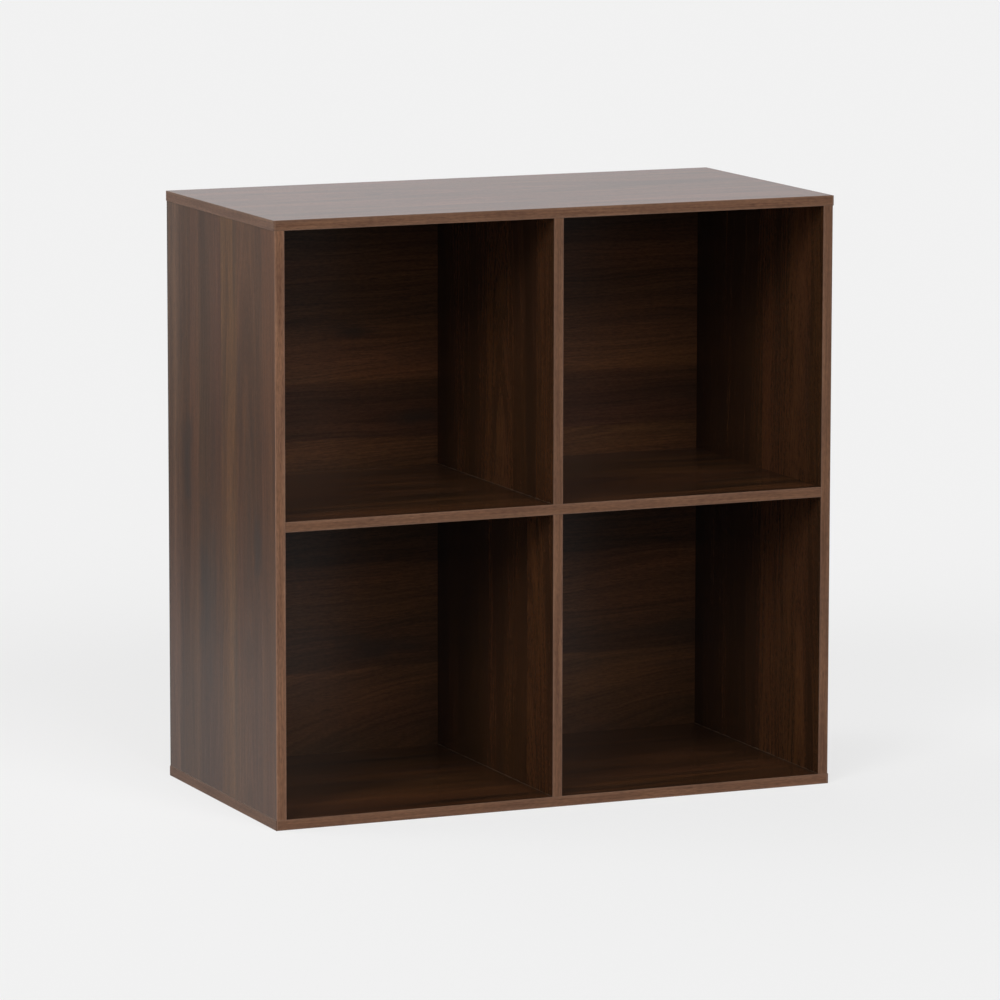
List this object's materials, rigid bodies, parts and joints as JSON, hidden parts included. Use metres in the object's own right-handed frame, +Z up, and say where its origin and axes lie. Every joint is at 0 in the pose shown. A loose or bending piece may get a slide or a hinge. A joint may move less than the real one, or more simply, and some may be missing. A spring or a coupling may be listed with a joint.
{
  "type": "cube storage unit",
  "caption": "Open-fronted storage unit in walnut-look boards, split into equal cube openings by a middle shelf and upright dividers, with a closed back.",
  "frame": {"origin": "on the floor, at the middle of the footprint", "axes": "+Z up, +X to the right seen from the front, and the open front faces -Y"},
  "size_m": [0.6976, 0.346, 0.696],
  "materials": {
    "walnut_board": "satin laminate",
    "walnut_hardboard": "satin laminate",
    "walnut_band": "satin",
    "zinc_casting": "as cast",
    "plated_steel": "zinc plated",
    "cover_film": "satin",
    "beech_dowel": "bare",
    "bright_nail": "bright"
  },
  "bodies": {
    "root": {"top_panel": "walnut_board", "bottom_panel": "walnut_board", "left_side": "walnut_board", "right_side": "walnut_board", "middle_shelf": "walnut_board", "upper_divider": "walnut_board", "lower_divider": "walnut_board", "back_panel": "walnut_hardboard", "top_front_band": "walnut_band", "top_left_band": "walnut_band", "top_right_band": "walnut_band", "bottom_front_band": "walnut_band", "bottom_left_band": "walnut_band", "bottom_right_band": "walnut_band", "left_side_band": "walnut_band", "right_side_band": "walnut_band", "shelf_band": "walnut_band", "upper_divider_band": "walnut_band", "lower_divider_band": "walnut_band", "top_cam_locks": "zinc_casting", "shelf_cam_locks": "zinc_casting", "top_cam_bolts": "plated_steel", "shelf_cam_bolts": "plated_steel", "bottom_screws": "plated_steel", "divider_screws": "plated_steel", "top_cam_covers": "cover_film", "shelf_cam_covers": "cover_film", "bottom_dowels": "beech_dowel", "top_dowels": "beech_dowel", "shelf_dowels": "beech_dowel", "divider_dowels": "beech_dowel", "back_nails": "bright_nail"}
  },
  "joints": []
}
